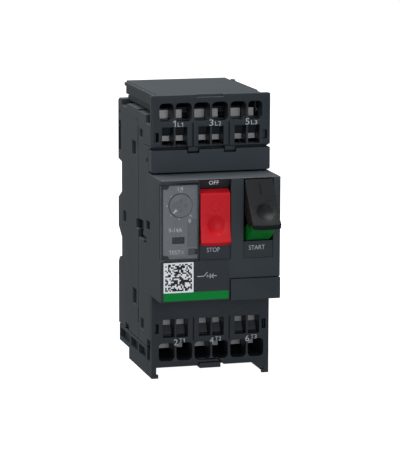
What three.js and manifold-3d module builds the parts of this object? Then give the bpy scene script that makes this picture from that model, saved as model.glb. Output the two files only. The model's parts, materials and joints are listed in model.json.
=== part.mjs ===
// Motor protection breaker for a 35 mm rail, three poles, spring-clamp terminals, two push keys.
//
// Drawing frame, millimetres: x runs from the left side, y from the terminal fronts towards the
// back, z upwards from the leg tips. The outer group moves the origin to the middle of the
// central rear pad, so the finished part has x across, -y to the front and z up.
import * as THREE from 'three';
import { mergeVertices } from 'three/addons/utils/BufferGeometryUtils.js';
import Module from 'manifold-3d';

const wasm = await Module();
wasm.setup();

// ---- driving dimensions -------------------------------------------------------------------
const WIDTH = 45;
const GAP = 0.3;              // clearance between neighbouring pieces
const WALL = 1.8;             // moulded wall
const MID_X = WIDTH / 2;

const REAR_Y = 52.2;          // plane of the rear feet and of the central pad
const RAIL_Y = 46.7;          // plane that the rail's lips rest on
const SEAM_Y = 20;            // joint between front and rear housing
const CORE_Y = 2.4;           // front plane of the housing behind the terminal covers
const NOSE_Y = -13.7;         // front panel
const PLATE = 2.1;            // thickness of the terminal front plates

const LEG_TOP = 4.1;
const TRAY_TOP = 10.6;
const NOSE_Z = [31.1, 76.2];
const FRONT_TOP = 97.4;
const REAR_TOP = 98.1;
const FOOT_TOP = 98.7;
const TOP_Z = 105.1;
const PAD_Z = 54.6;           // height of the central pad's middle above the leg tips

const POLE_PITCH = 13.72;
const LINE_X = 8.78;          // middle of the first pole, upper terminals
const LOAD_X = 9.12;          // middle of the first pole, lower terminals
const MIRROR_Z = 108.7;       // an upper terminal height and its lower twin add up to this
const POLES = [0, 1, 2];

const WIRE_HOLE = { inner: 0.42, outer: 6.35, z: [95.5, 102.2], r: 1.5 };
const RELEASE_HOLE = { inner: 0.4, outer: 4.72, z: [86.6, 93.4] };
const SLOT_X = [3.1, 41.9];   // the end poles' upper holes stop here
const TUNNEL_Y = 7.3;         // the terminal holes' walls reach back to here

const RAIL_PAD_Z = [48.9, 60.2];
const UPPER_FOOT_Z = 74.4;
const LOWER_FOOT_Z = 37.5;
const HOOK_Y = 48.9;          // front of the hooks behind the rail's lips

const PIVOT = { y: -5.3, z: 73.0 };   // shared axis of both keys
const KEY_SWING = 32;                 // degrees that the start key stands out
const SKIRT_R = 21.4;
const STOP_X = [14.8, 26.0];
const START_X = [31.4, 42.0];

const DIAL = { x: 7.8, z: 66.6, r: 4.25 };
const COVER = { x: [0.1, 14.2], z: [46.8, 74.2] };
const TEST_SLOT = { x: [4.7, 9.3], z: [52.6, 55.0] };

const CARRIER = { y: [24.5, 30.6], z: [61, 67.5] };
const CONTACT_Z = [57, 71];           // middles of the lower and upper contact points
const TRIP_BAR = { y: 27, z: 49, r: 1.8 };
const COIL = { y: 34.5, z: [25, 39], r: 5 };
const LATCH = { x: [13, 32], y: [47.6, 50.4], z: [5.6, 37.2], hook: 40.4 };

// ---- shape helpers ------------------------------------------------------------------------
function solid(geometry) {
  geometry.deleteAttribute('normal');
  geometry.deleteAttribute('uv');
  const merged = mergeVertices(geometry, 1e-4);
  // Faces meant to share a plane get exactly the same numbers.
  const vertProperties = merged.attributes.position.array.map((v) => Math.round(v * 1e4) / 1e4);
  const triVerts = new Uint32Array(merged.index.array);
  return new wasm.Manifold(new wasm.Mesh({ numProp: 3, vertProperties, triVerts }));
}

function box(x0, x1, y0, y1, z0, z1) {
  const geometry = new THREE.BoxGeometry(x1 - x0, y1 - y0, z1 - z0);
  geometry.translate((x0 + x1) / 2, (y0 + y1) / 2, (z0 + z1) / 2);
  return solid(geometry);
}

function extrude(shape, depth, curveSegments = 4) {
  return new THREE.ExtrudeGeometry(shape, { depth, bevelEnabled: false, curveSegments });
}

function outline(points) {
  return new THREE.Shape(points.map(([u, v]) => new THREE.Vector2(u, v)));
}

function roundRect(u0, u1, v0, v1, r) {
  const shape = new THREE.Shape();
  shape.moveTo(u0 + r, v0);
  shape.lineTo(u1 - r, v0);
  shape.absarc(u1 - r, v0 + r, r, -Math.PI / 2, 0);
  shape.lineTo(u1, v1 - r);
  shape.absarc(u1 - r, v1 - r, r, 0, Math.PI / 2);
  shape.lineTo(u0 + r, v1);
  shape.absarc(u0 + r, v1 - r, r, Math.PI / 2, Math.PI);
  shape.lineTo(u0, v0 + r);
  shape.absarc(u0 + r, v0 + r, r, Math.PI, 1.5 * Math.PI);
  return shape;
}

// A (y, z) outline carried along x.
function prismX(shape, x0, x1, curveSegments) {
  const geometry = extrude(shape, x1 - x0, curveSegments);
  const toX = new THREE.Matrix4().makeBasis(
    new THREE.Vector3(0, 1, 0), new THREE.Vector3(0, 0, 1), new THREE.Vector3(1, 0, 0));
  geometry.applyMatrix4(toX.setPosition(x0, 0, 0));
  return solid(geometry);
}

// An (x, z) outline carried along y.
function prismY(shape, y0, y1, curveSegments) {
  const geometry = extrude(shape, y1 - y0, curveSegments);
  const toY = new THREE.Matrix4().makeBasis(
    new THREE.Vector3(1, 0, 0), new THREE.Vector3(0, 0, 1), new THREE.Vector3(0, -1, 0));
  geometry.applyMatrix4(toY.setPosition(0, y1, 0));
  return solid(geometry);
}

function cylinder(axis, r, from, to, u, v, sides = 20) {
  const geometry = new THREE.CylinderGeometry(r, r, to - from, sides);
  const middle = (from + to) / 2;
  if (axis === 'x') geometry.rotateZ(Math.PI / 2).translate(middle, u, v);
  if (axis === 'y') geometry.translate(u, middle, v);
  if (axis === 'z') geometry.rotateX(Math.PI / 2).translate(u, v, middle);
  return solid(geometry);
}

// A wire wound along z: coils of the given mean radius, as one tube with flat ends.
function coilSpring(x, y, z0, z1, radius, wire, turns) {
  class Helix extends THREE.Curve {
    getPoint(t, target = new THREE.Vector3()) {
      const a = 2 * Math.PI * turns * t;
      return target.set(x + radius * Math.cos(a), y + radius * Math.sin(a), z0 + (z1 - z0) * t);
    }
  }
  const section = new THREE.Shape().absarc(0, 0, wire, 0, 2 * Math.PI);
  const options = { steps: turns * 8, extrudePath: new Helix(), curveSegments: 3 };
  return solid(new THREE.ExtrudeGeometry(section, options));
}

function union(...solids) {
  return solids.reduce((sum, one) => sum.add(one));
}

function cut(body, ...tools) {
  return tools.reduce((rest, tool) => rest.subtract(tool), body);
}

function mirrorX(body) {
  return body.mirror([1, 0, 0]).translate([WIDTH, 0, 0]);
}

function bothSides(body) {
  return union(body, mirrorX(body));
}

// A shallow pocket in both side walls.
function sidePocket(y0, y1, z0, z1, depth = 1.2) {
  return bothSides(box(-1, depth, y0, y1, z0, z1));
}

const group = new THREE.Group();

function addPart(name, body, look, parent = group) {
  const mesh = body.getMesh();
  const geometry = new THREE.BufferGeometry();
  geometry.setAttribute('position', new THREE.BufferAttribute(mesh.vertProperties, 3));
  geometry.setIndex(new THREE.BufferAttribute(mesh.triVerts, 1));
  geometry.computeVertexNormals();
  const part = new THREE.Mesh(geometry, new THREE.MeshStandardMaterial({ ...look }));
  part.name = name;
  parent.add(part);
}

const LOOK = {
  housing: { color: 0x42474b, roughness: 0.6, metalness: 0 },
  cover: { color: 0x363d45, roughness: 0.55, metalness: 0 },
  clear: { color: 0x8d9499, roughness: 0.15, metalness: 0, transparent: true, opacity: 0.45 },
  label: { color: 0x3a4148, roughness: 0.45, metalness: 0 },
  dial: { color: 0x6d7377, roughness: 0.5, metalness: 0 },
  black: { color: 0x26282a, roughness: 0.5, metalness: 0 },
  red: { color: 0xc4262f, roughness: 0.4, metalness: 0 },
  green: { color: 0x0b7a2f, roughness: 0.45, metalness: 0 },
  steel: { color: 0xb8babb, roughness: 0.35, metalness: 1 },
  copper: { color: 0xb87348, roughness: 0.35, metalness: 1 },
  coil: { color: 0x9a4f2a, roughness: 0.4, metalness: 1 },
};

// ---- rear housing -------------------------------------------------------------------------
function rearOutline() {
  const shape = outline([
    [SEAM_Y + 0.2, TRAY_TOP + GAP], [REAR_Y, TRAY_TOP + GAP], [REAR_Y, 35], [50.8, 36.9],
    [48.6, LOWER_FOOT_Z], [RAIL_Y, LOWER_FOOT_Z], [RAIL_Y, 45], [REAR_Y, RAIL_PAD_Z[0]],
    [REAR_Y, RAIL_PAD_Z[1]], [RAIL_Y, 63.1], [RAIL_Y, UPPER_FOOT_Z],
    [REAR_Y, UPPER_FOOT_Z + 0.6],
  ]);
  shape.lineTo(REAR_Y, FOOT_TOP - 2.2);
  shape.absarc(REAR_Y - 2.2, FOOT_TOP - 2.2, 2.2, 0, Math.PI / 2);
  shape.lineTo(46.5, FOOT_TOP);
  shape.lineTo(46.5, 96.3);
  shape.lineTo(38.6, 96.3);
  shape.quadraticCurveTo(38.2, REAR_TOP, 35.4, REAR_TOP);
  shape.lineTo(SEAM_Y + 0.2, REAR_TOP);
  return shape;
}

function rearInside() {
  const rearWall = RAIL_Y - 1.6;
  return union(
    box(WALL, WIDTH - WALL, SEAM_Y - 1, 36.6, TRAY_TOP + 1.9, REAR_TOP - 1.6),
    box(WALL, WIDTH - WALL, 36, rearWall, TRAY_TOP + 1.9, 95.5));
}

function phaseBarriers(y0, y1, z0, z1) {
  const half = 0.4;
  const middles = [LINE_X, LINE_X + POLE_PITCH].map((x) => x + POLE_PITCH / 2);
  return union(...middles.map((x) => box(x - half, x + half, y0, y1, z0, z1)));
}

function rearHousing() {
  const [lx0, lx1] = LATCH.x;
  const [, channelBack] = LATCH.y;
  const hook = (x0, x1) => prismX(outline([
    [HOOK_Y, UPPER_FOOT_Z + 1], [50.6, UPPER_FOOT_Z + 1], [50.6, 71.8], [49.4, 71.8],
    [HOOK_Y, 72.4]]), x0, x1);
  const shell = cut(prismX(rearOutline(), 0, WIDTH), rearInside());
  const withBarriers = shell.add(phaseBarriers(36, RAIL_Y - 1, 18, 88));
  const hooked = union(withBarriers, hook(4, 13), hook(32, 41));
  const channel = box(lx0 - GAP, lx1 + GAP, LATCH.y[0] - GAP, REAR_Y + 1, TRAY_TOP, 39);
  const bridge = box(lx0 - 1, lx1 + 1, channelBack + GAP, REAR_Y, 14, 20);
  const springSeat = box(20, 25, LATCH.y[0] - 1, channelBack - 0.3, 22.6, 24);
  const body = union(cut(hooked, channel), bridge, springSeat);
  const footLighten = (z0, z1) => box(4.5, 11.5, RAIL_Y + 1.2, REAR_Y + 1, z0, z1);
  const footPockets = [
    footLighten(16, 22), footLighten(25, 31), footLighten(79, 85), footLighten(88, 94)];
  const between = [[16.6, 22], [23, 28.4]].map(([x0, x1]) =>
    box(x0, x1, RAIL_Y + 1.2, REAR_Y + 1, 79, 94));
  return cut(body,
    ...footPockets, ...footPockets.map(mirrorX), ...between,
    sidePocket(47.9, REAR_Y - 0.6, 78.5, 90, 1.5),
    sidePocket(48.8, 50.4, 92.2, 93.9, 1),
    sidePocket(24, 29.6, 79.9, 85.3),
    sidePocket(39.7, 44.4, 51.8, 56.2),
    sidePocket(SEAM_Y, 23.2, 53, 56.4, WALL + 1),
    sidePocket(23.2, 29.1, 23.1, 29.2),
    sidePocket(35.4, 41.3, 10, 13, 1),
    sidePocket(SEAM_Y, 20.9, 84, 91.3, 0.8),
    sidePocket(SEAM_Y, 20.9, 17, 22.7, 0.8),
    sidePocket(22.6, 23.2, 92.9, 94.1, 0.6));
}

// ---- front housing ------------------------------------------------------------------------
function keySlot([x0, x1], topZ) {
  const slot = outline([
    [NOSE_Y - 1, 53], [NOSE_Y, 52.85], [-11.7, 52.1], [-8.8, 52.1], [-8.8, topZ],
    [NOSE_Y - 1, topZ]]);
  return prismX(slot, x0 - GAP, x1 + GAP);
}

function offRamp() {
  const ramp = outline([[-12.2, 75.7], [-9.9, 72], [-8.9, 72], [-8.9, 76], [-12.2, 76]]);
  return prismX(ramp, STOP_X[0] - GAP - 0.2, STOP_X[1] + GAP + 0.2);
}

function noseShell() {
  const r = 0.8;
  const [z0, z1] = NOSE_Z;
  const section = new THREE.Shape();
  section.moveTo(CORE_Y, z0);
  section.lineTo(CORE_Y, z1);
  section.lineTo(NOSE_Y + r, z1);
  section.absarc(NOSE_Y + r, z1 - r, r, Math.PI / 2, Math.PI);
  section.lineTo(NOSE_Y, z0 + r);
  section.absarc(NOSE_Y + r, z0 + r, r, Math.PI, 1.5 * Math.PI);
  return prismX(section, 0, WIDTH, 3);
}

function frontInside() {
  const [z0, z1] = NOSE_Z;
  return union(
    box(WALL, WIDTH - WALL, -10, 6, z0 + 1.6, z1 - 1.2),
    box(14.5, WIDTH - WALL, -11.9, 6, z0 + 1.6, z1 - 1.7),
    box(WALL, WIDTH - WALL, CORE_Y + 3.6, SEAM_Y + 1, TRAY_TOP + 1.9, FRONT_TOP - 1.6),
    box(2.4, WIDTH - 2.4, CORE_Y - 1, SEAM_Y - 1, 86.6, FRONT_TOP + 1),
    box(1.5, WIDTH - 1.5, CORE_Y - 1, SEAM_Y - 1, TRAY_TOP - 1, 29));
}

function dialRecess() {
  const floor = -11.6;
  const [t0, t1] = TEST_SLOT.x;
  return union(
    box(-1, COVER.x[1] + 0.2, NOSE_Y - 1, floor, COVER.z[0] - 0.2, COVER.z[1] + 0.2),
    cylinder('y', DIAL.r + GAP, floor - 1, -9, DIAL.x, DIAL.z, 24),
    box(t0 - 1.6, t1, floor - 1, -9, ...TEST_SLOT.z));
}

function frontHousing() {
  const core = box(0, WIDTH, CORE_Y, SEAM_Y - 0.2, TRAY_TOP + GAP, FRONT_TOP);
  const shell = cut(union(core, noseShell()), frontInside(),
    box(-1, WIDTH + 1, CORE_Y - 1, 4.3, NOSE_Z[1], 85.4),
    keySlot(START_X, 75.75), keySlot(STOP_X, 75.7));
  const ribbed = union(shell, offRamp(),
    phaseBarriers(5.4, SEAM_Y - 0.2, 78, 86.4),
    phaseBarriers(TUNNEL_Y + 0.4, SEAM_Y - 0.2, 86.4, 93),
    phaseBarriers(TUNNEL_Y + 0.4, SEAM_Y - 0.2, 16, 22.3),
    phaseBarriers(5.4, SEAM_Y - 0.2, 22.3, 31));
  return cut(ribbed, dialRecess(),
    box(STOP_X[0] - GAP, STOP_X[1] + GAP, NOSE_Y - 1, NOSE_Y + 0.7, 46.4, 53),
    box(START_X[0] - GAP, START_X[1] + GAP, NOSE_Y - 1, NOSE_Y + 0.5, 46.4, 53),
    box(26, WIDTH + 1, NOSE_Y - 1, -12.2, NOSE_Z[0] - 1, 39.2),
    sidePocket(CORE_Y - 1, 8.1, 94.3, FRONT_TOP + 1, 2.6),
    sidePocket(12.9, 17.7, 88, 91.1, 0.8),
    sidePocket(5.5, 7.5, 79.6, 81.6, 0.6),
    sidePocket(2.4, 9.9, 85.9, 86.3, 0.5),
    sidePocket(12, SEAM_Y, 53.4, 57.2, WALL + 1),
    sidePocket(2.8, 7.8, 55, 58.4, WALL + 1),
    sidePocket(12.6, SEAM_Y, 50, 53.5, WALL + 1),
    sidePocket(8.2, 12.7, 49.1, 52, WALL - 0.3),
    sidePocket(11.7, 16.5, 15.9, 20, 0.8),
    sidePocket(CORE_Y - 1, 7, 9, 13.8));
}

// ---- terminal covers ----------------------------------------------------------------------
function holePair(middle, hole, limits, y0, y1) {
  const spans = [
    [Math.max(middle - hole.outer, limits[0]), middle - hole.inner],
    [middle + hole.inner, Math.min(middle + hole.outer, limits[1])]];
  return union(...spans.map(([x0, x1]) => (hole.r
    ? prismY(roundRect(x0, x1, ...hole.z, hole.r), y0, y1, 2)
    : box(x0, x1, y0, y1, ...hole.z))));
}

// Every pole's wire holes, round-cornered at the front and square behind, and release holes.
function terminalHoles(x, wire, release, limits = [0, WIDTH]) {
  const back = TUNNEL_Y + 1;
  return POLES.flatMap((i) => {
    const middle = x + POLE_PITCH * i;
    return [
      holePair(middle, wire, limits, -1, 3.6),
      holePair(middle, { ...wire, r: 0 }, limits, 3.5, back),
      holePair(middle, release, limits, -1, back)];
  });
}

// Blocks that carry the holes back to the clamps.
function tunnelBlocks(x0, x1) {
  return union(
    box(x0, x1, 3.6, TUNNEL_Y, 95.6, 103),
    box(x0, x1, 3.6, TUNNEL_Y, 86.9, 92.8));
}

// A sloping lip in front of the release leaves, and a floor under the wire holes.
function tunnelSills(x0, x1) {
  const lip = outline([[4.15, 93.3], [4.15, 92.6], [5.45, 89.6], [5.45, 93.3]]);
  return union(prismX(lip, x0, x1), box(x0, x1, 3.6, TUNNEL_Y, 95.45, 95.9));
}

const mirrored = (hole) => ({
  ...hole, z: [MIRROR_Z - hole.z[1], MIRROR_Z - hole.z[0]] });

const flipped = (body) => body.mirror([0, 0, 1]).translate([0, 0, MIRROR_Z]);

function poleGrooves(x, z0, z1) {
  return union(...[0, 1].map((i) => {
    const middle = x + POLE_PITCH * (i + 0.5);
    return box(middle - 0.2, middle + 0.2, -1, 0.6, z0, z1);
  }));
}

function upperTerminalCover() {
  const plate = prismY(roundRect(0, WIDTH, 86.1, TOP_Z, 0.5), 0, PLATE, 2);
  const tunnels = box(2.8, 42.2, PLATE - 0.1, 3.7, 86.9, 103);
  const tabs = [13.8, 27.7].map((x) => box(x, x + 4, 0.1, 1.6, 84.4, 87));
  const hood = cut(
    box(1, WIDTH - 2, PLATE - 0.1, 43.3, 101, TOP_Z),
    box(42, WIDTH, PLATE + 0.1, 9.7, 100, TOP_Z + 1));
  const skirt = box(2.4, WIDTH - 2.4, PLATE - 0.1, 43.3, REAR_TOP + GAP, 102);
  const inside = box(3.6, WIDTH - 3.6, 3.7, 44, 90, TOP_Z - 1.3);
  const clip = bothSides(box(1, 2.2, 43, 45.9, 103.8, TOP_Z));
  const lowClip = bothSides(box(2.4, 3.6, 43, 45.9, 98.9, 100.1));
  const deck = box(3, WIDTH - 3, 40, 51, TOP_Z - 1.2, TOP_Z);
  const grooves = bothSides(box(2.5, 3, 3, 44, TOP_Z - 0.5, TOP_Z + 1));
  const shell = cut(union(hood, skirt), inside);
  const body = union(plate, tunnels, tunnelBlocks(2.8, 42.2), ...tabs, shell, clip, lowClip, deck);
  const open = cut(body, ...terminalHoles(LINE_X, WIRE_HOLE, RELEASE_HOLE, SLOT_X), grooves,
    bothSides(box(1.2, 2.8, -1, PLATE + 1, 88.1, 91.5)),
    poleGrooves(LINE_X, 86, 94.8),
    box(17, 27.3, -1, 2, TOP_Z - 1, TOP_Z + 1));
  return union(open, tunnelSills(3, 42));
}

function trayWindows() {
  const windows = [[9.2, 19.6], [21.5, 32.2], [34.8, 49.4]];
  const side = union(
    ...windows.map(([y0, y1]) => box(-1, 1.6, y0, y1, 5.7, 9.4)),
    box(-1, 1.6, PLATE + 0.6, 7, 5.6, TRAY_TOP + 1));
  return bothSides(side);
}

function lowerTerminalCover() {
  const plate = box(0, WIDTH, 0, PLATE, LEG_TOP, NOSE_Z[0] - 0.2);
  const tunnels = box(1.9, 43.2, PLATE - 0.1, 3.7, 5.2, 22.6);
  const tray = box(0, WIDTH, PLATE - 0.1, 51, LEG_TOP, TRAY_TOP);
  const inside = box(2.2, WIDTH - 2.2, 3.7, 49.4, LEG_TOP + 1.4, TRAY_TOP + 1);
  const legs = bothSides(box(0, 1.8, 0, 35.6, 0, LEG_TOP + 1));
  const toes = bothSides(box(0, 2.6, 0, 1.6, 0, 1.4));
  const latchWay = box(12.4, 32.6, 46.4, 52, LEG_TOP - 1, TRAY_TOP + 1);
  const latchWall = box(11.2, 33.8, 45, 46.4, LEG_TOP, TRAY_TOP);
  const wayWalls = bothSides(box(11.2, 12.4, 45, 51, LEG_TOP, TRAY_TOP));
  const notch = prismY(outline([[17.9, 3], [28.4, 3], [25.8, 6.5], [17.9, 6.5]]), -1, PLATE);
  const tab = union(box(18.1, 26.2, -0.9, PLATE, 3.3, 5.2), box(18.1, 26.2, 1.2, 4, 3.3, 6));
  const blocks = flipped(tunnelBlocks(1.9, 43.2));
  const frame = union(
    cut(union(plate, tray), inside), tunnels, blocks, legs, toes, latchWall, wayWalls);
  const holes = terminalHoles(LOAD_X, mirrored(WIRE_HOLE), mirrored(RELEASE_HOLE));
  const body = union(cut(frame, latchWay, notch), tab);
  const open = cut(body, ...holes, trayWindows(),
    bothSides(box(1.3, 2.7, -1, PLATE + 1, 17, 20.5)),
    poleGrooves(LOAD_X, 13.6, 22.4));
  return union(open, flipped(tunnelSills(2.5, 43)));
}

function markerStrip() {
  const shape = new THREE.Shape();
  const r = 0.8;
  shape.moveTo(r, 76.8);
  shape.lineTo(WIDTH - r, 76.8);
  shape.absarc(WIDTH - r, 76.8 + r, r, -Math.PI / 2, 0);
  shape.lineTo(WIDTH, 85);
  shape.lineTo(0, 85);
  shape.lineTo(0, 76.8 + r);
  shape.absarc(r, 76.8 + r, r, Math.PI, 1.5 * Math.PI);
  const strip = prismY(shape, 0, 3.9, 3);
  const hollow = box(1.4, WIDTH - 1.4, 1.7, 5, 70, 90);
  const notches = [13.5, 27.4].map((x) => box(x, x + 4.6, -1, 2.2, 83.7, 86));
  return cut(strip, hollow, ...notches);
}

function blankPlate() {
  return prismY(roundRect(26.2, WIDTH, NOSE_Z[0], 39, 0.3), -14.2, -12.4, 2);
}

// ---- setting dial, its scale and the clear cover --------------------------------------------
function scalePlate() {
  const plate = box(1.4, COVER.x[1], -12, -11.75, COVER.z[0] + 0.2, COVER.z[1] - 0.2);
  return cut(plate,
    cylinder('y', DIAL.r + 0.25, -13, -11, DIAL.x, DIAL.z, 24),
    box(...TEST_SLOT.x, -13, -11, ...TEST_SLOT.z));
}

function settingDial() {
  const disc = cylinder('y', DIAL.r, -12.55, -11, DIAL.x, DIAL.z, 24);
  const shaft = cylinder('y', 2.2, -11.2, -5, DIAL.x, DIAL.z, 12);
  const slot = (w, h) => box(DIAL.x - w, DIAL.x + w, -13, -12, DIAL.z - h, DIAL.z + h);
  return cut(union(disc, shaft), slot(0.5, 2.2), slot(2.2, 0.5));
}

function dialCover() {
  const [x0, x1] = COVER.x;
  const pane = box(x0 + 0.7, x1, -13.65, -12.9, ...COVER.z);
  const edge = cylinder('z', 0.7, ...COVER.z, x0 + 0.7, -12.95, 10);
  const latchTab = box(10, x1, -13.65, -12.3, 48.2, 50.4);
  return union(pane, edge, latchTab);
}

function testSlider() {
  const [x0, x1] = TEST_SLOT.x;
  const [z0, z1] = TEST_SLOT.z;
  const tab = box(x0 + 0.2, x1 - 0.3, -11.6, -8.5, z0 + 0.2, z1 - 0.3);
  const notch = cylinder('y', 0.8, -13, -10.9, (x0 + x1) / 2, z1 - 0.3, 12);
  return union(cut(tab, notch), box(x0 - 1, x1 + 2.4, -9.6, -8.5, z0 - 1, z1 + 1));
}

// ---- keys -----------------------------------------------------------------------------------
// The keys are drawn pressed in, with (y, z) measured from their shared axis.
const keyCap = (end) => [
  [-5.6, -0.9], [-8.4, -2.4], [-8.55, -9.2], [-8.7, -13], [-9.2, -17], [-10, end + 1.1],
  [-9.9, end], [-8.6, end], [-8.45, end + 2], [-7, -14], [-6.2, -6], [-5.1, -2.8]];
const KEY_CHEEK = [
  [0.9, -1.4], [-5.2, -2.8], [-6.5, -6], [-7.2, -14], [-8.4, -19.4], [-3.5, -18.8]];
const KEY_ARM = [[0.9, -1.4], [-1.3, -1.1], [-5.2, -2.8], [-6.4, -9.2], [-5.6, -9.4]];

function ring(x, z, r, y0, y1) {
  return cut(cylinder('y', r + 0.15, y0, y1, x, z, 20), cylinder('y', r - 0.15, y0, y1, x, z, 20));
}

// The cap's curved lower end, as a prism that also slopes forwards to a 45 degree chamfer.
function keyEnd([x0, x1], end) {
  const corner = end + 0.45;
  const curve = new THREE.Shape();
  curve.moveTo(x0, 12);
  curve.lineTo(x0, corner);
  curve.quadraticCurveTo((x0 + x1) / 2, end - 0.35, x1, corner);
  curve.lineTo(x1, 12);
  const straight = prismY(curve, -12, 0, 8);
  const chamferFrom = -8.8;
  const sheared = straight.transform([
    1, 0, 0, 0, 0, 1, -1, 0, 0, 0, 1, 0, 0, 0, chamferFrom, 1]);
  return straight.intersect(sheared);
}

function keyBody([x0, x1], end, dimpleAt, skirtEnd = []) {
  const middle = (x0 + x1) / 2;
  const half = (x1 - x0) / 2;
  const cap = prismX(outline(keyCap(end)), x0, x1).intersect(keyEnd([x0, x1], end));
  const cheek = (a, b) => prismX(outline(KEY_CHEEK), a, b);
  const hub = cylinder('x', 1.7, x0, x1, 0, 0, 16);
  const body = union(cap, cheek(x0, x0 + 0.55), cheek(x1 - 0.55, x1),
    prismX(outline(KEY_ARM), x0, x1), hub, ...skirtEnd);
  const dimple = new THREE.SphereGeometry(5.5, 32, 20);
  dimple.rotateX(Math.PI / 2).translate(middle + 0.3, ...dimpleAt);
  return cut(body, solid(dimple), cylinder('x', 1.05, x0 - 1, x0 + 2 * half + 1, 0, 0, 16));
}

function keySkirt(x0, x1, fromDeg, toDeg) {
  const rad = Math.PI / 180;
  const shape = new THREE.Shape();
  const start = -Math.PI / 2 - fromDeg * rad;
  const end = -Math.PI / 2 - toDeg * rad;
  shape.absarc(0, 0, SKIRT_R, start, end, false);
  shape.absarc(0, 0, SKIRT_R - 5, end, start, true);
  shape.closePath();
  return prismX(shape, x0, x1, 8);
}

function stopKey() {
  const [x0, x1] = STOP_X;
  const middle = (x0 + x1) / 2 + 0.4;
  const skirt = keySkirt(x0 + 0.5, x1 - 0.5, 23, 6);
  const body = keyBody(STOP_X, -21.45, [-12.98, -13.5], [skirt]);
  return cut(body, ring(middle - 0.1, -7.2, 1.75, -9, -8.25));
}

function startKey() {
  const middle = (START_X[0] + START_X[1]) / 2;
  const body = keyBody(START_X, -22.6, [-13.2, -15.2]);
  return cut(body, box(middle - 0.15, middle + 0.15, -9, -8.25, -8.6, -4));
}

function startKeySkirt() {
  return keySkirt(START_X[0] + 0.8, START_X[1] - 1, 21.5, -24);
}

// ---- mechanism ------------------------------------------------------------------------------
function mechanismFrame() {
  const cheek = outline([
    [-7.4, 71.2], [-7.4, 74.7], [4.4, 74.7], [4.4, 58], [2.8, 58], [0, 66], [-3, 71.2]]);
  const cheeks = [[13.1, 14.2], [27.6, 28.6], [42.35, 42.95]].map(([a, b]) => prismX(cheek, a, b));
  const plate = box(13.1, 42.95, 3.6, 4.4, 58, 74.7);
  return cut(union(plate, ...cheeks),
    box(28.9, 31.1, 3, 5, 57, 71.6),
    cylinder('x', 1.0, 10, 44, PIVOT.y, PIVOT.z, 16),
    cylinder('x', 0.9, 27, 29, -0.6, 69.4, 12));
}

const leverOutline = [
  [-2.2, 71], [0.9, 71.2], [2.8, 67], [2.6, 56], [0.8, 50], [-0.6, 50.4], [0.6, 57], [-1, 66],
  [-2.4, 68.6]];

function latchLever() {
  return cut(prismX(outline(leverOutline), 29.4, 30.6),
    cylinder('x', 0.9, 29, 31, -0.6, 69.4, 12));
}

function contactCarrier() {
  const [y0, y1] = CARRIER.y;
  const [z0, z1] = CARRIER.z;
  const beam = box(3.4, WIDTH - 3.4, y0, y1, z0, z1);
  const posts = POLES.map((i) => {
    const middle = LINE_X + POLE_PITCH * i;
    return box(middle - 1.6, middle + 1.6, y1 - 0.5, y1 + 0.25, z0 + 1, z1 - 1);
  });
  const stem = box(28.6, 31.4, 8, y0 + 1, z0 + 1.2, z1 - 1.2);
  return union(beam, stem, ...posts);
}

function movingContact(i) {
  const middle = LINE_X + POLE_PITCH * i;
  const y0 = CARRIER.y[1] + 0.5;
  const [low, high] = CONTACT_Z;
  const bridge = box(middle - 2.4, middle + 2.4, y0, y0 + 0.9, low - 1.6, high + 1.6);
  const tips = CONTACT_Z.map((z) => cylinder('y', 1.4, y0 + 0.8, y0 + 1.4, middle, z, 12));
  return union(bridge, ...tips);
}

function lineTerminal(i) {
  const middle = LINE_X + POLE_PITCH * i;
  const bar = box(middle - 4.6, middle + 4.6, 5.2, 14, 94.15, 94.6);
  const run = box(middle - 3, middle + 3, 13, 37.4, 94, 95.2);
  const drop = box(middle - 3, middle + 3, 36.2, 37.4, CONTACT_Z[1] - 2, 95);
  const tip = cylinder('y', 1.4, 35.7, 36.4, middle, CONTACT_Z[1], 12);
  return union(bar, run, drop, tip);
}

function loadTerminal(i) {
  const middle = LOAD_X + POLE_PITCH * i;
  const contactX = LINE_X + POLE_PITCH * i;
  const low = MIRROR_Z - 95.2;
  const bar = box(middle - 4.6, middle + 4.6, 5.2, 14, low + 0.6, low + 1.05);
  const run = box(middle - 3, middle + 3, 13, 43.8, low, low + 1.2);
  const rise = box(middle - 3, middle + 3, 42.6, 43.8, low, 56.4);
  const shelf = box(middle - 3, middle + 3, 37, 43.8, 55.2, 56.4);
  const pad = box(contactX - 2.4, contactX + 2.4, 36.2, 37.4, 54.9, CONTACT_Z[0] + 1.6);
  const tip = cylinder('y', 1.4, 35.7, 36.4, contactX, CONTACT_Z[0], 12);
  return union(bar, run, rise, shelf, pad, tip);
}

// A spring clamp bent round the front end of its conductor: wire leaf above, release leaf below.
function clampSpring(x0, x1, flip) {
  const t = 0.3;
  const leaf = (y0, y1, z0, z1) => (flip
    ? box(x0, x1, y0 - t, y1 + t, MIRROR_Z - z1 - t, MIRROR_Z - z0 + t)
    : box(x0, x1, y0 - t, y1 + t, z0 - t, z1 + t));
  return union(
    leaf(8, 8, 95, 98.6), leaf(4.5, 8, 95, 95), leaf(4.5, 4.5, 93.75, 95),
    leaf(4.5, 11.6, 93.75, 93.75), leaf(11.6, 11.6, 90, 93.75),
    leaf(6, 11.6, 90, 90), leaf(6, 6, 88, 90));
}

function arcChute(i) {
  const middle = LINE_X + POLE_PITCH * i;
  const [z0, z1] = [75, 89];
  const cheeks = [middle - 4.6, middle + 3.9].map((x) => box(x, x + 0.7, 25, 34.5, z0, z1));
  const plates = [0, 1, 2, 3, 4, 5].map((k) => {
    const z = z0 + 0.6 + k * 2.4;
    return box(middle - 4.2, middle + 4.2, 25, 34.5, z, z + 0.8);
  });
  const mouth = box(middle - 1.6, middle + 1.6, 31.5, 36, z0 - 1, z1 + 1);
  return cut(union(...cheeks, ...plates), mouth);
}

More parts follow.
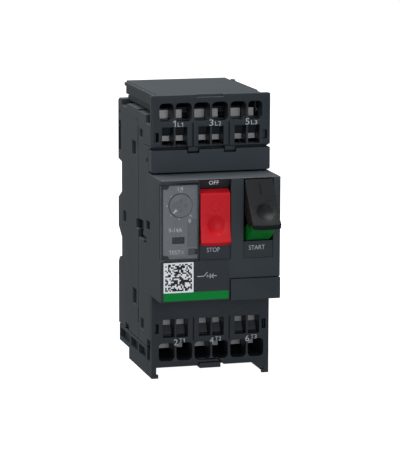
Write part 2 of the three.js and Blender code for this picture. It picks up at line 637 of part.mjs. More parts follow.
function tripCoil(i) {
  const middle = LINE_X + POLE_PITCH * i;
  const [z0, z1] = COIL.z;
  const flange = (a, b) => box(middle - 5.4, middle + 5.4, COIL.y - 5.4, COIL.y + 5.4, a, b);
  const body = union(flange(z0 - 1, z0 + 0.1), flange(z1 - 0.1, z1 + 1),
    cylinder('z', COIL.r, z0, z1, middle, COIL.y, 20));
  return cut(body, cylinder('z', 1.9, z0 - 2, z1 + 2, middle, COIL.y, 14));
}

function plunger(i) {
  const middle = LINE_X + POLE_PITCH * i;
  const [z0, z1] = COIL.z;
  const core = cylinder('z', 1.5, z0 + 2, z1 + 1.6, middle, COIL.y, 14);
  return union(core, cylinder('z', 0.7, z1 + 1.4, z1 + 4.4, middle, COIL.y, 10));
}

function bimetal(i) {
  const middle = LINE_X + POLE_PITCH * i;
  const strip = box(middle - 2.6, middle + 2.6, 22.6, 23.3, 17, 45.6);
  return union(strip, box(middle - 2.6, middle + 2.6, 22.6, 27, 16, 17.4));
}

function tripBar() {
  const { y, z, r } = TRIP_BAR;
  const fingers = POLES.map((i) => {
    const middle = LINE_X + POLE_PITCH * i;
    return union(
      box(middle - 1.2, middle + 1.2, y, COIL.y + 1.6, z - 3.9 + 0.4, z - 2.3),
      box(middle - 1.2, middle + 1.2, y, y + 1.4, z - 3.5, z),
      box(middle - 2, middle + 2, y - 3.2, y - 2, z - 4.8, z),
      box(middle - 2, middle + 2, y - 3.2, y, z - 1, z));
  });
  return union(cylinder('x', r, 2.3, WIDTH - 2.3, y, z, 14), ...fingers);
}

// ---- rail latch -----------------------------------------------------------------------------
function railLatch() {
  const [x0, x1] = LATCH.x;
  const [y0, y1] = LATCH.y;
  const [z0, z1] = LATCH.z;
  const side = outline([
    [y0, z0], [y1, z0], [y1, LATCH.hook - 1.2], [y1 - 1, LATCH.hook], [HOOK_Y, LATCH.hook],
    [HOOK_Y, z1], [y0, z1]]);
  return cut(prismX(side, x0, x1),
    box(19.6, 25.4, y0 - 1, y1 + 1, 19, 33),
    box(19.5, 25.5, y0 - 1, y1 + 1, z0 + 1.4, z0 + 3.4));
}

// ---- assembly -------------------------------------------------------------------------------
addPart('rear_housing', rearHousing(), LOOK.housing);
addPart('front_housing', frontHousing(), LOOK.housing);
addPart('upper_terminal_cover', upperTerminalCover(), LOOK.cover);
addPart('lower_terminal_cover', lowerTerminalCover(), LOOK.cover);
addPart('marker_strip', markerStrip(), LOOK.cover);
addPart('blank_plate', blankPlate(), LOOK.cover);
addPart('label_plate', box(1, 25.4, -13.9, NOSE_Y - 0.05, 31.9, 46.1), LOOK.label);
addPart('scale_plate', scalePlate(), LOOK.dial);
addPart('setting_dial', settingDial(), LOOK.dial);
addPart('test_slider', testSlider(), LOOK.cover);
addPart('dial_cover', dialCover(), LOOK.clear);

const pressed = new THREE.Group();
pressed.position.set(0, PIVOT.y, PIVOT.z);
group.add(pressed);
addPart('stop_key', stopKey(), LOOK.red, pressed);

const standingOut = new THREE.Group();
standingOut.position.set(0, PIVOT.y, PIVOT.z);
standingOut.rotation.x = -KEY_SWING * Math.PI / 180;
group.add(standingOut);
addPart('start_key', startKey(), LOOK.black, standingOut);
addPart('start_key_skirt', startKeySkirt(), LOOK.green, standingOut);

addPart('key_pivot_pin', cylinder('x', 0.9, 12.9, 43.1, PIVOT.y, PIVOT.z, 16), LOOK.steel);
addPart('mechanism_frame', mechanismFrame(), LOOK.steel);
addPart('latch_lever', latchLever(), LOOK.steel);
addPart('lever_pin', cylinder('x', 0.75, 27.2, 31.0, -0.6, 69.4, 12), LOOK.steel);
addPart('main_spring', coilSpring(20, 9, 62, 74, 2.4, 0.4, 5), LOOK.steel);
addPart('trip_bar', tripBar(), LOOK.black);
addPart('contact_carrier', contactCarrier(), LOOK.black);

POLES.forEach((i) => {
  const n = i + 1;
  addPart(`line_terminal_${n}`, lineTerminal(i), LOOK.copper);
  addPart(`load_terminal_${n}`, loadTerminal(i), LOOK.copper);
  addPart(`moving_contact_${n}`, movingContact(i), LOOK.copper);
  addPart(`arc_chute_${n}`, arcChute(i), LOOK.steel);
  addPart(`trip_coil_${n}`, tripCoil(i), LOOK.coil);
  addPart(`plunger_${n}`, plunger(i), LOOK.steel);
  addPart(`bimetal_${n}`, bimetal(i), LOOK.steel);
  [['line', LINE_X, false], ['load', LOAD_X, true]].forEach(([side, x, flip]) => {
    const middle = x + POLE_PITCH * i;
    const { inner, outer } = RELEASE_HOLE;
    const left = clampSpring(middle - outer + 0.15, middle - inner - 0.15, flip);
    const right = clampSpring(middle + inner + 0.15, middle + outer - 0.15, flip);
    addPart(`${side}_clamp_${n}a`, left, LOOK.steel);
    addPart(`${side}_clamp_${n}b`, right, LOOK.steel);
  });
});

addPart('rail_latch', railLatch(), LOOK.black);
addPart('rail_latch_spring', coilSpring(22.5, 49.1, 24.5, 32.5, 1.2, 0.28, 4), LOOK.steel);

const breaker = new THREE.Group();
group.position.set(-MID_X, -REAR_Y, -PAD_Z);
breaker.add(group);

export default breaker;
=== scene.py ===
"""Looks of a three-pole motor protection breaker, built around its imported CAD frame.

Units are metres in the row frame: x across, -y to the front, z up. Lengths written with MM are
millimetres. Every piece takes its place from a CAD node's box.
"""

import json
import math
import random

import bmesh
import bpy
from mathutils import Matrix, Vector


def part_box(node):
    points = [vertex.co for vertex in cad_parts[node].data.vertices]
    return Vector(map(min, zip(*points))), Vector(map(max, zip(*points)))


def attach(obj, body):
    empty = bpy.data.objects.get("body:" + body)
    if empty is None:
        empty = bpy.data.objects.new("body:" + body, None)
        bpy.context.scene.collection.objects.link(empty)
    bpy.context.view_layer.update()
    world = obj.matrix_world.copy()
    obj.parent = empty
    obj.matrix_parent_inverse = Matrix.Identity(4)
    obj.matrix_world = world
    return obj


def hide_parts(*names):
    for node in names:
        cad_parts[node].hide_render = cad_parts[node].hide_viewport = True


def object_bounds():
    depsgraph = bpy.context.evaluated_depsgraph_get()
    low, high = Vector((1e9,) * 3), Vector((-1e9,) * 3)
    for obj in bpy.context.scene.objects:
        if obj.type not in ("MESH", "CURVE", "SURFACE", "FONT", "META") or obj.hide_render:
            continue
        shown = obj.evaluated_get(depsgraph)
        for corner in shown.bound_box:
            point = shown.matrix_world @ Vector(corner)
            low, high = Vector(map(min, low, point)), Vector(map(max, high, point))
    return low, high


MM = 0.001

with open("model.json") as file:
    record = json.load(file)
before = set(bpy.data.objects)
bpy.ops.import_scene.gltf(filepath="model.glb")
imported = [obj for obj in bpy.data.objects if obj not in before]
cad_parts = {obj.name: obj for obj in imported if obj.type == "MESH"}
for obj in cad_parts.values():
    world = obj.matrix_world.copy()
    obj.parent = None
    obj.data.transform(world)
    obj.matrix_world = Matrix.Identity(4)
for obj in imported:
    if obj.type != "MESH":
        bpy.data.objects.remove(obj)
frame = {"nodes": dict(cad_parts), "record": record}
cad_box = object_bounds()
scene = bpy.context.scene
record = frame["record"]
body_of = {n: b for b, ns in record["behaviour"]["bodies"].items() for n in ns}
slot_of = {s["node"]: s["material_slot"] for s in record["subparts"]}


# ---- camera and light --------------------------------------------------------------------
LENS = 195.66
CAMERA_AT = (-240.1, -918.5, 159.65)
CAMERA_TURN = (15.237, 10.015, 0.139)


def look_matrix(yaw, pitch, roll):
    """Camera axes for a view turned yaw to the right of +y, pitch down and roll, in degrees."""
    a, e, r = (math.radians(v) for v in (yaw, pitch, roll))
    ahead = Vector((math.sin(a) * math.cos(e), math.cos(a) * math.cos(e), -math.sin(e)))
    level = Vector((math.cos(a), -math.sin(a), 0))
    upright = level.cross(ahead)
    right = math.cos(r) * level + math.sin(r) * upright
    up = math.cos(r) * upright - math.sin(r) * level
    return Matrix((right, up, -ahead)).transposed().to_4x4()


def make_camera():
    """A long lens to the left of the front; CAMERA_AT is in mm, CAMERA_TURN in degrees."""
    data = bpy.data.cameras.new("view")
    data.lens = LENS
    data.clip_start = 0.05
    camera = bpy.data.objects.new("view", data)
    scene.collection.objects.link(camera)
    place = Matrix.Translation(Vector(CAMERA_AT) * MM)
    camera.matrix_world = place @ look_matrix(*CAMERA_TURN)
    scene.camera = camera


def area_light(name, at, size, power, color):
    """A round lamp that points at the origin, with its power in watts."""
    data = bpy.data.lights.new(name, "AREA")
    data.shape = "DISK"
    data.size = size
    data.energy = power
    data.color = color
    light = bpy.data.objects.new(name, data)
    scene.collection.objects.link(light)
    light.location = at
    light.rotation_euler = (-Vector(at)).to_track_quat("-Z", "Y").to_euler()


def make_light():
    """A pale sky, a large lamp overhead, a small one at the left and a cool one in front."""
    world = bpy.data.worlds.new("studio")
    world.use_nodes = True
    sky = world.node_tree.nodes["Background"]
    sky.inputs["Color"].default_value = (0.95, 0.97, 1.0, 1)
    sky.inputs["Strength"].default_value = 0.25
    scene.world = world
    area_light("overhead", (-0.15, 0.1, 1.3), 0.9, 21, (1, 1, 1))
    area_light("left_side", (-0.5, 0.3, 0.4), 0.35, 1.5, (0.97, 0.99, 1))
    area_light("front_fill", (-0.1, -1.6, 0.3), 0.9, 6, (0.82, 0.9, 1))
    scene.view_settings.view_transform = "Standard"
    scene.view_settings.look = "None"


# ---- materials ---------------------------------------------------------------------------
class Shader:
    """A node material that is put together link by link."""

    def __init__(self, name):
        self.material = bpy.data.materials.new(name)
        self.material.use_nodes = True
        self.tree = self.material.node_tree
        self.principled = self.tree.nodes["Principled BSDF"]
        self.place = self.tree.nodes.new("ShaderNodeTexCoord").outputs["Object"]

    def node(self, kind, **inputs):
        made = self.tree.nodes.new(kind)
        for key, value in inputs.items():
            self.feed(made.inputs[key.replace("_", " ")], value)
        return made

    def feed(self, socket, value):
        if isinstance(value, bpy.types.NodeSocket):
            self.tree.links.new(value, socket)
        else:
            socket.default_value = value

    def noise(self, scale, detail=2.0, stretch=None):
        """A noise value about 0.5; scale is in waves per metre."""
        source = self.place
        if stretch:
            source = self.node("ShaderNodeMapping", Vector=source, Scale=stretch).outputs[0]
        return self.node(
            "ShaderNodeTexNoise", Vector=source, Scale=scale, Detail=detail).outputs[0]

    def spread(self, value, low, high):
        """Maps the busy middle of a noise to the range low to high."""
        span = {"From_Min": 0.3, "From_Max": 0.7, "To_Min": low, "To_Max": high}
        return self.node("ShaderNodeMapRange", Value=value, **span).outputs[0]

    def blend(self, factor, a, b):
        mix = self.tree.nodes.new("ShaderNodeMix")
        mix.data_type = "RGBA"
        self.feed(mix.inputs[0], factor)
        self.feed(mix.inputs[6], a)
        self.feed(mix.inputs[7], b)
        return mix.outputs[2]

    def edges(self, most):
        """Rises to most along convex edges and is 0 elsewhere."""
        edge_pointiness = self.tree.nodes.new("ShaderNodeNewGeometry").outputs["Pointiness"]
        span = {"From_Min": 0.51, "From_Max": 0.56, "To_Min": 0.0, "To_Max": most}
        return self.node("ShaderNodeMapRange", Value=edge_pointiness, **span).outputs[0]

    def bump(self, height, depth, strength):
        relief = self.node(
            "ShaderNodeBump", Height=height, Distance=depth, Strength=strength)
        self.feed(self.principled.inputs["Normal"], relief.outputs[0])

    def finish(self, **inputs):
        for key, value in inputs.items():
            self.feed(self.principled.inputs[key.replace("_", " ")], value)
        return self.material


def tone(color, gain):
    """The colour times gain, as an opaque RGBA value."""
    return tuple(min(1, c * gain) for c in color[:3]) + (1,)


def moulded(name, color, rough=0.5, grain=0.03, edge_highlight=0.35, **more):
    """Injection moulded plastic: fine grain, faint flow marks and a painted highlight that pales
    the convex edges.
    """
    shader = Shader(name)
    flow = shader.noise(45, 3, (1, 1, 0.35))
    speck = shader.noise(3200, 2)
    base = shader.blend(shader.spread(flow, 0, 1), tone(color, 0.93), tone(color, 1.07))
    base = shader.blend(shader.spread(speck, 0, 0.22), base, tone(color, 1.25))
    # Painted highlight: convex edges are lifted towards 1.8 times the colour, as if light caught
    # them.
    base = shader.blend(shader.edges(edge_highlight), base, tone(color, 1.8))
    shader.bump(speck, grain * MM, 0.5)
    return shader.finish(
        Base_Color=base,
        Roughness=shader.spread(flow, rough - 0.05, rough + 0.06),
        **more)


def metal(name, color, rough=0.32, along=(1, 1, 25)):
    """Rolled sheet metal: fine lines along the strip and a faint stain."""
    shader = Shader(name)
    lines = shader.noise(420, 3, along)
    stain = shader.noise(160, 3)
    base = shader.blend(shader.spread(stain, 0, 1), tone(color, 0.88), tone(color, 1.06))
    shader.bump(lines, 0.008 * MM, 0.3)
    return shader.finish(
        Base_Color=base, Roughness=shader.spread(lines, rough - 0.06, rough + 0.06), Metallic=1)


def printed(name, color, rough=0.55, **more):
    """Pad-printed ink: a little uneven in cover and gloss."""
    shader = Shader(name)
    cover = shader.noise(2600, 3)
    base = shader.blend(shader.spread(cover, 0, 1), tone(color, 0.86), tone(color, 1.05))
    shader.bump(cover, 0.01 * MM, 0.4)
    return shader.finish(
        Base_Color=base, Roughness=shader.spread(cover, rough - 0.06, rough), **more)


def smoked_clear(name, color, alpha, rough=0.12):
    """Smoke-tinted clear plastic: slight haze, and a painted sheen where it is seen edge on,
    which also makes it more opaque there.
    """
    shader = Shader(name)
    haze = shader.noise(130, 3)
    facing = shader.node("ShaderNodeLayerWeight", Blend=0.5).outputs["Facing"]
    grazing_sheen = shader.node(
        "ShaderNodeMapRange", Value=facing, From_Min=0.45, From_Max=0.95).outputs[0]
    base = shader.blend(shader.spread(haze, 0, 1), tone(color, 0.92), tone(color, 1.08))
    # Painted sheen: seen edge on, the colour is lifted towards 2.6 times its tone, standing in
    # for the reflection there.
    base = shader.blend(grazing_sheen, base, tone(color, 2.6))
    shader.bump(shader.noise(700, 2), 0.01 * MM, 0.3)
    cover = shader.node("ShaderNodeMapRange", Value=grazing_sheen, To_Min=alpha, To_Max=0.8).outputs[0]
    return shader.finish(
        Base_Color=base, Roughness=shader.spread(haze, rough, rough + 0.08), Alpha=cover)


def make_materials():
    return {
        "housing": moulded("housing_plastic", (0.036, 0.0445, 0.0505), 0.55),
        "cover": moulded("cover_plastic", (0.033, 0.043, 0.052), 0.5),
        # A darker copy of the cover plastic, used on the two terminal covers.
        "darker_cover": moulded("terminal_cover_darker", (0.021, 0.0285, 0.034), 0.5),
        "clear": smoked_clear("smoked_cover", (0.20, 0.215, 0.225), 0.15),
        "label": moulded("label_film", (0.033, 0.039, 0.046), 0.42, 0.01, 0.1),
        "dial": moulded("dial_plastic", (0.40, 0.412, 0.42), 0.5, 0.015, 0.2),
        "dial_band": moulded("dial_strip_plastic", (0.32, 0.33, 0.338), 0.5, 0.015, 0.1),
        "dial_shade": moulded("catch_shade_paint", (0.13, 0.137, 0.143), 0.5, 0.015, 0.1),
        "black_key": moulded(
            "black_key_plastic", (0.0105, 0.011, 0.0115), 0.58, 0.015, 0.3,
            Specular_IOR_Level=0.25),
        "red_key": moulded(
            "red_key_plastic", (1.0, 0.014, 0.024), 0.42, 0.012, 0.2, Specular_IOR_Level=0.25),
        "green_skirt": moulded(
            "green_plastic", (0.0005, 0.24, 0.03), 0.42, 0.012, 0.2, Specular_IOR_Level=0.25),
        "steel": metal("spring_steel", (0.42, 0.405, 0.38), 0.42),
        "dark_steel": metal("blackened_steel", (0.030, 0.030, 0.032), 0.5),
        "contact": metal("plated_copper", (0.62, 0.36, 0.22), 0.3),
        "coil": metal("enamelled_copper", (0.42, 0.16, 0.07), 0.28, (25, 1, 1)),
        "inner_black": moulded("inner_plastic", (0.022, 0.023, 0.024), 0.5, 0.02, 0.2),
        "ink": printed("white_ink", (0.74, 0.77, 0.79)),
        # White ink with a painted glow: a weak emission lifts it above what the light on it
        # gives, on the shaded OFF ramp and behind the smoked cover.
        "ink_with_glow": printed(
            "white_scale_print_glow", (0.93, 0.95, 0.97),
            Emission_Color=(0.93, 0.96, 1, 1), Emission_Strength=0.2),
        # The label's white with a painted glow: a weak emission makes it brighter than the light
        # on it.
        "paper": printed(
            "label_paper_glow", (0.93, 0.94, 0.95), 0.5,
            Emission_Color=(0.93, 0.96, 1, 1), Emission_Strength=0.25),
        "code": printed("label_black", (0.012, 0.013, 0.014), 0.5),
        "band": printed(
            "label_green", (0.0005, 0.36, 0.055), 0.45, Specular_IOR_Level=0.2),
        "shadow": moulded("slot_shadow", (0.010, 0.011, 0.012), 0.6, 0.01, 0.0),
    }


# ---- mesh helpers ------------------------------------------------------------------------
SHARP = math.radians(50)


def new_piece(name, mesh, body, material):
    """A piece of one material that rides on a body."""
    piece = bpy.data.objects.new(name, mesh)
    scene.collection.objects.link(piece)
    mesh.materials.clear()
    mesh.materials.append(material)
    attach(piece, body)
    return piece


def clean(mesh, fine=0.0):
    """Joins split corners, lays fresh triangles on each flat face and marks the sharp edges.

    Sharp edges shorter than fine, in mm, are marked for a quarter of the full rounding.
    """
    bm = bmesh.new()
    bm.from_mesh(mesh)
    bmesh.ops.remove_doubles(bm, verts=bm.verts, dist=2e-6)
    bmesh.ops.dissolve_limit(
        bm, angle_limit=math.radians(0.4), verts=bm.verts, edges=bm.edges,
        use_dissolve_boundaries=False)
    bmesh.ops.triangulate(bm, faces=bm.faces, quad_method="BEAUTY", ngon_method="BEAUTY")
    for face in bm.faces:
        face.smooth = True
    weight = bm.edges.layers.float.new("bevel_weight_edge")
    for edge in bm.edges:
        if len(edge.link_faces) == 2 and edge.calc_face_angle() > SHARP:
            edge[weight] = 1.0 if edge.calc_length() >= fine * MM else 0.25
    bm.to_mesh(mesh)
    bm.free()
    if mesh.has_custom_normals:
        mesh.attributes.remove(mesh.attributes["custom_normal"])


def soften(piece, width, segments=2):
    """Rounds the marked edges; width is in mm."""
    bevel = piece.modifiers.new("edges", "BEVEL")
    bevel.width = width * MM
    bevel.segments = segments
    bevel.limit_method = "WEIGHT"
    bevel.use_clamp_overlap = False
    weigh = piece.modifiers.new("shading", "WEIGHTED_NORMAL")
    weigh.mode = "FACE_AREA_WITH_ANGLE"


def refine(node, width, segments=2, fine=0.0):
    """A copy of a CAD node with clean faces and rounded edges, which stands for it."""
    mesh = frame["nodes"][node].data.copy()
    mesh.name = node + "_moulding"
    clean(mesh, fine)
    look = FINISH.get(node, slot_of[node])
    piece = new_piece(node + "_shape", mesh, body_of[node], MATERIAL[look])
    soften(piece, width, segments)
    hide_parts(node)


def near(node, across, up, sink=0.0):
    """A point given in mm from a node's low corner: across, up, and behind its front plane."""
    low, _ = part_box(node)
    return low + Vector((across, sink, up)) * MM


def mesh_from(bm, name):
    """The finished bmesh as a mesh, with its faces turned outwards."""
    bmesh.ops.recalc_face_normals(bm, faces=bm.faces)
    mesh = bpy.data.meshes.new(name)
    bm.to_mesh(mesh)
    bm.free()
    return mesh


def add_plate(bm, x0, x1, z0, z1, y0, y1):
    """A thin plate facing -y, added to a bmesh."""
    size = Vector((x1 - x0, y1 - y0, z1 - z0))
    middle = Vector(((x0 + x1) / 2, (y0 + y1) / 2, (z0 + z1) / 2))
    shape = Matrix.Translation(middle) @ Matrix.Diagonal((*size, 1))
    bmesh.ops.create_cube(bm, size=1, matrix=shape)


def add_prism(bm, corners, y0, y1):
    """A closed (x, z) outline carried from y0 to y1, added to a bmesh."""
    rings = [[bm.verts.new((x, y, z)) for x, z in corners] for y in (y0, y1)]
    bm.faces.new(rings[0])
    bm.faces.new(rings[1][::-1])
    for i in range(len(corners)):
        j = (i + 1) % len(corners)
        bm.faces.new((rings[0][i], rings[1][i], rings[1][j], rings[0][j]))


def add_bar(bm, a, b, width, y0, y1):
    """A straight printed line from a to b, both (x, z), added to a bmesh."""
    a, b = Vector(a), Vector(b)
    length = (b - a).length
    turn = Matrix.Rotation(-math.atan2(b.y - a.y, b.x - a.x), 4, "Y")
    middle = Vector(((a.x + b.x) / 2, (y0 + y1) / 2, (a.y + b.y) / 2))
    shape = Matrix.Translation(middle) @ turn @ Matrix.Diagonal((length, y1 - y0, width, 1))
    bmesh.ops.create_cube(bm, size=1, matrix=shape)


# ---- lettering ---------------------------------------------------------------------------
INK = 0.02 * MM
STROKE = 0.28 * MM
NUMBER_HIGH = 2.3
SMALL_HIGH = 1.55
SMALL_PITCH = 1.3


def lettering(name, text, at, height, width, material="ink", lean=0.0, slant=0.0):
    """Printed text whose lower left corner is at a point; height and width are in mm.

    lean tips the top of the text forwards, in degrees; slant shifts it along its line.
    """
    curve = bpy.data.curves.new(name, "FONT")
    curve.body = text
    curve.extrude = 0.01
    curve.resolution_u = 3
    source = bpy.data.objects.new(name, curve)
    scene.collection.objects.link(source)
    bpy.context.view_layer.update()
    mesh = bpy.data.meshes.new_from_object(source)
    bpy.data.objects.remove(source)
    xs = [v.co.x for v in mesh.vertices]
    ys = [v.co.y for v in mesh.vertices]
    zs = [v.co.z for v in mesh.vertices]
    scale = Matrix.Diagonal((
        width * MM / (max(xs) - min(xs)), height * MM / (max(ys) - min(ys)),
        2 * INK / (max(zs) - min(zs)), 1))
    start = Matrix.Translation((-min(xs), -min(ys), 0))
    shear = Matrix.Identity(4)
    shear[0][1] = slant
    stand = Matrix.Rotation(math.radians(90 + lean), 4, "X")
    mesh.transform(Matrix.Translation(at) @ stand @ shear @ scale @ start)
    mesh.name = name
    new_piece(name, mesh, "housing", MATERIAL[material])


def numeral_one(name, at, height):
    """A printed 1 with its flag; the font's own is a bare stroke."""
    stroke = 0.16 * height
    left = 0.3 * height
    outline = [
        (left, 0), (left + stroke, 0), (left + stroke, height), (left + 0.02 * height, height),
        (0.04 * height, 0.8 * height), (0.04 * height, 0.64 * height), (left, 0.78 * height)]
    bm = bmesh.new()
    corners = [(at.x + x * MM, at.z + z * MM) for x, z in outline]
    add_prism(bm, corners, at.y - INK, at.y + INK)
    new_piece(name, mesh_from(bm, name), "housing", MATERIAL["ink"])


def pole_mark(name, number, letter, at, small_shift, small_up):
    """A pole's number with a smaller letter and pole number beside it."""
    pole = (number + 1) // 2
    if number == 1:
        numeral_one(name, at, NUMBER_HIGH)
    else:
        lettering(name, str(number), at, NUMBER_HIGH, 1.5)
    small = at + Vector((small_shift, 0, small_up)) * MM
    lettering(name + "_letter", letter, small, SMALL_HIGH, 1.05)
    digit = small + Vector((SMALL_PITCH, 0, 0)) * MM
    if pole == 1:
        numeral_one(name + "_pole", digit, SMALL_HIGH)
    else:
        lettering(name + "_pole", str(pole), digit, SMALL_HIGH, 1.0)


def terminal_marks():
    """The numbers of the three poles, on both terminal covers."""
    pitch = 13.72
    for i in range(3):
        upper = near("upper_terminal_cover", 8.1 + pitch * i, 9.2)
        pole_mark(f"mark_line_{i + 1}", 2 * i + 1, "L", upper, 1.75 + 0.4 * (i > 0), 0)
        lower = near("lower_terminal_cover", 8.5 + pitch * i, 12.3, 0.9)
        pole_mark(f"mark_load_{i + 1}", 2 * i + 2, "T", lower, 2.1, 0.9)


def key_marks():
    """STOP and START under the keys, and OFF on the ramp above the stop key."""
    lettering("mark_stop", "STOP", near("front_housing", 17.4, 38.3, 0.7), 1.65, 4.9)
    lettering("mark_start", "START", near("front_housing", 33.2, 38.5, 0.5), 1.65, 6.1)
    ramp_deep = 2.3
    ramp_high = 3.7
    slope = math.degrees(math.atan2(ramp_deep, ramp_high))
    # OFF is in the glowing ink, whose painted glow lifts it out of the ramp's shade.
    lettering(
        "mark_off", "OFF", near("front_housing", 18.7, 62.75, 2.76), 1.8, 3.75, "ink_with_glow",
        lean=slope, slant=-0.15)


# ---- label -------------------------------------------------------------------------------
BAND_HIGH = 3.0


def code_patch():
    """A white square with a meaningless pattern of small dark cells."""
    low = near("label_plate", 0, BAND_HIGH)
    side = 11.2 * MM
    height = 11.1 * MM
    front = low.y
    paper = bmesh.new()
    add_plate(paper, low.x, low.x + side, low.z, low.z + height, front - INK, front + INK)
    new_piece("label_square", mesh_from(paper, "label_square"), "housing",
              MATERIAL["paper"])
    dice = random.Random(7)
    cells = 19
    dark_share = 0.52
    margin = 0.6 * MM
    step = (side - 2 * margin) / cells
    pattern = bmesh.new()
    for row in range(cells):
        for column in range(cells):
            if dice.random() < dark_share:
                x = low.x + margin + column * step
                z = low.z + margin + row * step
                add_plate(pattern, x, x + step, z, z + step, front - 2 * INK, front)
    bmesh.ops.remove_doubles(pattern, verts=pattern.verts, dist=1e-6)
    new_piece("label_cells", mesh_from(pattern, "label_cells"), "housing",
              MATERIAL["code"])


def green_band():
    """The plain green band along the foot of the label."""
    low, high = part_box("label_plate")
    band = bmesh.new()
    add_plate(band, low.x, high.x, low.z, low.z + BAND_HIGH * MM, low.y - INK, low.y + INK)
    new_piece("label_band", mesh_from(band, "label_band"), "housing", MATERIAL["band"])


def breaker_symbol():
    """The usual circuit symbol of a switch with a trip unit, as printed lines."""
    origin = near("label_plate", 12.6, 8.7)
    bm = bmesh.new()

    def line(x0, z0, x1, z1):
        a = (origin.x + x0 * MM, origin.z + z0 * MM)
        b = (origin.x + x1 * MM, origin.z + z1 * MM)
        add_bar(bm, a, b, STROKE, origin.y - INK, origin.y + INK)

    line(0, 0, 2.6, 0)
    line(2.5, 0, 3.8, 1.45)
    line(3.5, 0, 7.3, 0)
    line(3.75, -0.45, 3.75, 0.45)
    line(4.7, -0.8, 6.1, 0.8)
    line(4.7, 0.8, 6.1, -0.8)
    new_piece("label_symbol", mesh_from(bm, "label_symbol"), "housing", MATERIAL["ink"])


# ---- dial and its scale ------------------------------------------------------------------
def dial_middle():
    low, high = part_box("setting_dial")
    return (low.x + high.x) / 2, (low.z + high.z) / 2


def clock_angle(clock):
    """The angle in radians, from x towards z, of a place on a clock face."""
    return math.radians(90 - 30 * clock)


def scale_marks():
    """Ticks round the dial with their figures, printed on the scale plate."""
    x, z = dial_middle()
    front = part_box("scale_plate")[0].y
    bm = bmesh.new()
    short = (4.75, 5.3)
    long = (5.0, 5.9)
    ticks = {12: short, 10.5: short, 9: short, 7.5: short, 6.2: short, 4.5: long}
    for clock, radii in ticks.items():
        a = clock_angle(clock)
        ends = [(x + r * MM * math.cos(a), z + r * MM * math.sin(a)) for r in radii]
        add_bar(bm, *ends, STROKE, front - INK, front + INK)
    # The ticks and the figures below are in the glowing ink, a painted glow.
    new_piece("scale_ticks", mesh_from(bm, "scale_ticks"), "housing",
              MATERIAL["ink_with_glow"])

    def mark(name, text, across, up, height, width):
        lettering(name, text, near("scale_plate", across, up), height, width, "ink_with_glow")

    mark("scale_high", "14", 5.4, 25.0, 1.5, 2.0)
    mark("scale_low", "9", 9.2, 13.0, 1.5, 1.1)
    mark("scale_range", "9-14A", 2.0, 9.8, 1.6, 5.0)
    mark("scale_test", "TEST", 2.0, 1.7, 1.5, 4.4)
    mark("scale_test_arrow", "<", 6.7, 1.85, 1.1, 0.9)


def cover_fittings():
    """What shows through the clear cover: two hinge lugs and the catch, dark partly from painted
    shadow, a patch of painted shade beside the catch, and a strip.
    """
    origin = near("scale_plate", 0, 0)

    def plate(name, corners, thick, material):
        bm = bmesh.new()
        outline = [(origin.x + x * MM, origin.z + z * MM) for x, z in corners]
        add_prism(bm, outline, origin.y - thick * MM, origin.y + INK)
        new_piece(name, mesh_from(bm, name), "housing", MATERIAL[material])

    # The hinge lugs and the catch are real parts, drawn as thin plates in the dark shadow
    # material, so their darkness is partly painted shadow.
    plate("hinge_lug_low", [(-0.5, 0), (2, 0), (2, 0.7), (1.4, 1.3), (-0.5, 1.3)], 0.5, "shadow")
    plate("hinge_lug_high",
          [(-0.5, 27), (2, 27), (2, 26.4), (1.4, 25.7), (-0.5, 25.7)], 0.5, "shadow")
    plate("cover_catch", [(11.9, 1.5), (12.7, 1.5), (12.7, 3.5), (11.9, 3.5)], 0.3, "shadow")
    # Painted shade: a darker patch beside the catch, standing in for the shade round it.
    plate("catch_shade_patch", [(9.3, 1.3), (11.9, 1.3), (11.9, 3.7), (9.3, 3.7)], 0.04, "dial_shade")
    plate("dial_strip", [(8.9, 4.2), (12.7, 4.2), (12.7, 14.6), (8.9, 14.6)], 0.01, "dial_band")


def dial_pointer():
    """The tapered white mark that turns with the dial."""
    x, z = dial_middle()
    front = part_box("setting_dial")[0].y
    bm = bmesh.new()
    a = clock_angle(7.55)
    outward = Vector((math.cos(a), math.sin(a)))
    across = Vector((-outward.y, outward.x))
    tip = outward * 4.0
    tail = outward * 2.2
    corners = [tip - across * 0.12, tip + across * 0.12, tail + across * 0.5, tail - across * 0.5]
    add_prism(bm, [(x + c.x * MM, z + c.y * MM) for c in corners], front - INK, front + INK)
    # The pointer is in the glowing ink, a painted glow.
    new_piece("dial_pointer", mesh_from(bm, "dial_pointer"), "setting_dial",
              MATERIAL["ink_with_glow"])


# ---- inside the shells -------------------------------------------------------------------
def add_strip(bm, across, deep, up, mirrored=False):
    """A strip, given in mm from the front housing's low corner, and its mirror image if asked."""
    low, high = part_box("front_housing")
    x0, x1 = (v * MM for v in across)
    y0, y1 = (low.y + v * MM for v in deep)
    z0, z1 = (low.z + v * MM for v in up)
    add_plate(bm, low.x + x0, low.x + x1, z0, z1, y0, y1)
    if mirrored:
        add_plate(bm, high.x - x1, high.x - x0, z0, z1, y0, y1)


def shell_tongue():
    """The tongue inside the joint of the two shells, all round."""
    bm = bmesh.new()
    joint = (32.3, 35.1)
    between = (2.5, 42.5)
    add_strip(bm, (2.05, 2.5), joint, (2.2, 84.5), mirrored=True)
    add_strip(bm, between, joint, (1.7, 2.2))
    add_strip(bm, between, joint, (84.0, 84.5))
    new_piece("shell_tongue", mesh_from(bm, "shell_tongue"), "housing",
              MATERIAL["housing"])


def light_stops():
    """Dark sheets in painted shadow behind the side windows, under the upper cover and across its
    open back: they block the view through the hollow shells and stand for the shade inside.
    """
    bm = bmesh.new()
    under_cover = (3.0, 3.4)
    add_strip(bm, (1.85, 2.0), (16.3, 37.7), (37.2, 48.6), mirrored=True)
    add_strip(bm, under_cover, (22.0, 32.5), (86.0, 87.4), mirrored=True)
    add_strip(bm, under_cover, (32.8, 56.5), (87.25, 87.45), mirrored=True)
    add_strip(bm, (3.6, 41.4), (56.0, 56.3), (87.7, 92.7))
    new_piece("light_stops", mesh_from(bm, "light_stops"), "housing",
              MATERIAL["shadow"])


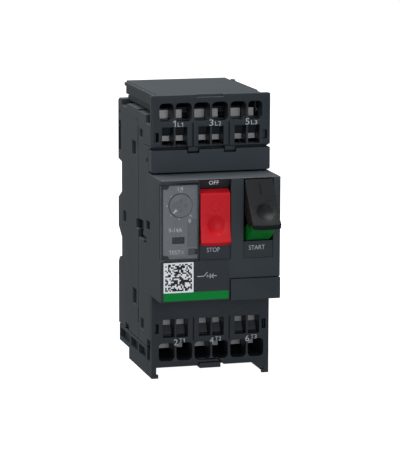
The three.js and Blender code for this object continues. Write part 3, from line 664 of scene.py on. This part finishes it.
# ---- floor -------------------------------------------------------------------------------
def make_floor():
    """A white floor just under the object, which neither lights it nor shows in it."""
    low, _ = cad_box
    bm = bmesh.new()
    bmesh.ops.create_grid(bm, x_segments=8, y_segments=8, size=4)
    mesh = mesh_from(bm, "floor")
    shader = Shader("floor_paper")
    tooth = shader.noise(40, 3)
    base = shader.blend(shader.spread(tooth, 0, 1), (0.3, 0.3, 0.3, 1), (0.32, 0.32, 0.32, 1))
    mesh.materials.append(shader.finish(
        Base_Color=base, Roughness=0.9, Specular_IOR_Level=0.1,
        Emission_Color=(1, 1, 1, 1), Emission_Strength=1.0))
    floor = bpy.data.objects.new("floor", mesh)
    scene.collection.objects.link(floor)
    floor.location.z = low.z - 0.01 * MM
    floor.visible_diffuse = False
    floor.visible_glossy = False


# ---- the whole ---------------------------------------------------------------------------
# Edge rounding in mm, its segments and, for some, the length under which an edge gets less.
ROUNDED = {
    "rear_housing": (0.3, 2),
    "front_housing": (0.22, 2),
    "upper_terminal_cover": (0.18, 2),
    "lower_terminal_cover": (0.18, 2),
    "marker_strip": (0.12, 2),
    "blank_plate": (0.1, 2),
    "label_plate": (0.04, 1),
    "scale_plate": (0.04, 1),
    "setting_dial": (0.12, 2),
    "test_slider": (0.1, 2),
    "dial_cover": (0.15, 2),
    "stop_key": (0.18, 3, 0.8),
    "start_key": (0.18, 3, 0.8),
    "start_key_skirt": (0.25, 2),
    "rail_latch": (0.3, 2),
}

# Nodes drawn in another colour than their slot's usual one: the terminal covers in a darker copy
# of the cover plastic.
FINISH = {"upper_terminal_cover": "darker_cover", "lower_terminal_cover": "darker_cover"}

MATERIAL = make_materials()
make_camera()
make_light()
for node_name in sorted(frame["nodes"]):
    if node_name in ROUNDED:
        refine(node_name, *ROUNDED[node_name])
    else:
        cad_object = frame["nodes"][node_name]
        cad_object.data.materials.clear()
        cad_object.data.materials.append(MATERIAL[slot_of[node_name]])
terminal_marks()
key_marks()
code_patch()
green_band()
breaker_symbol()
scale_marks()
cover_fittings()
dial_pointer()
shell_tongue()
light_stops()
make_floor()
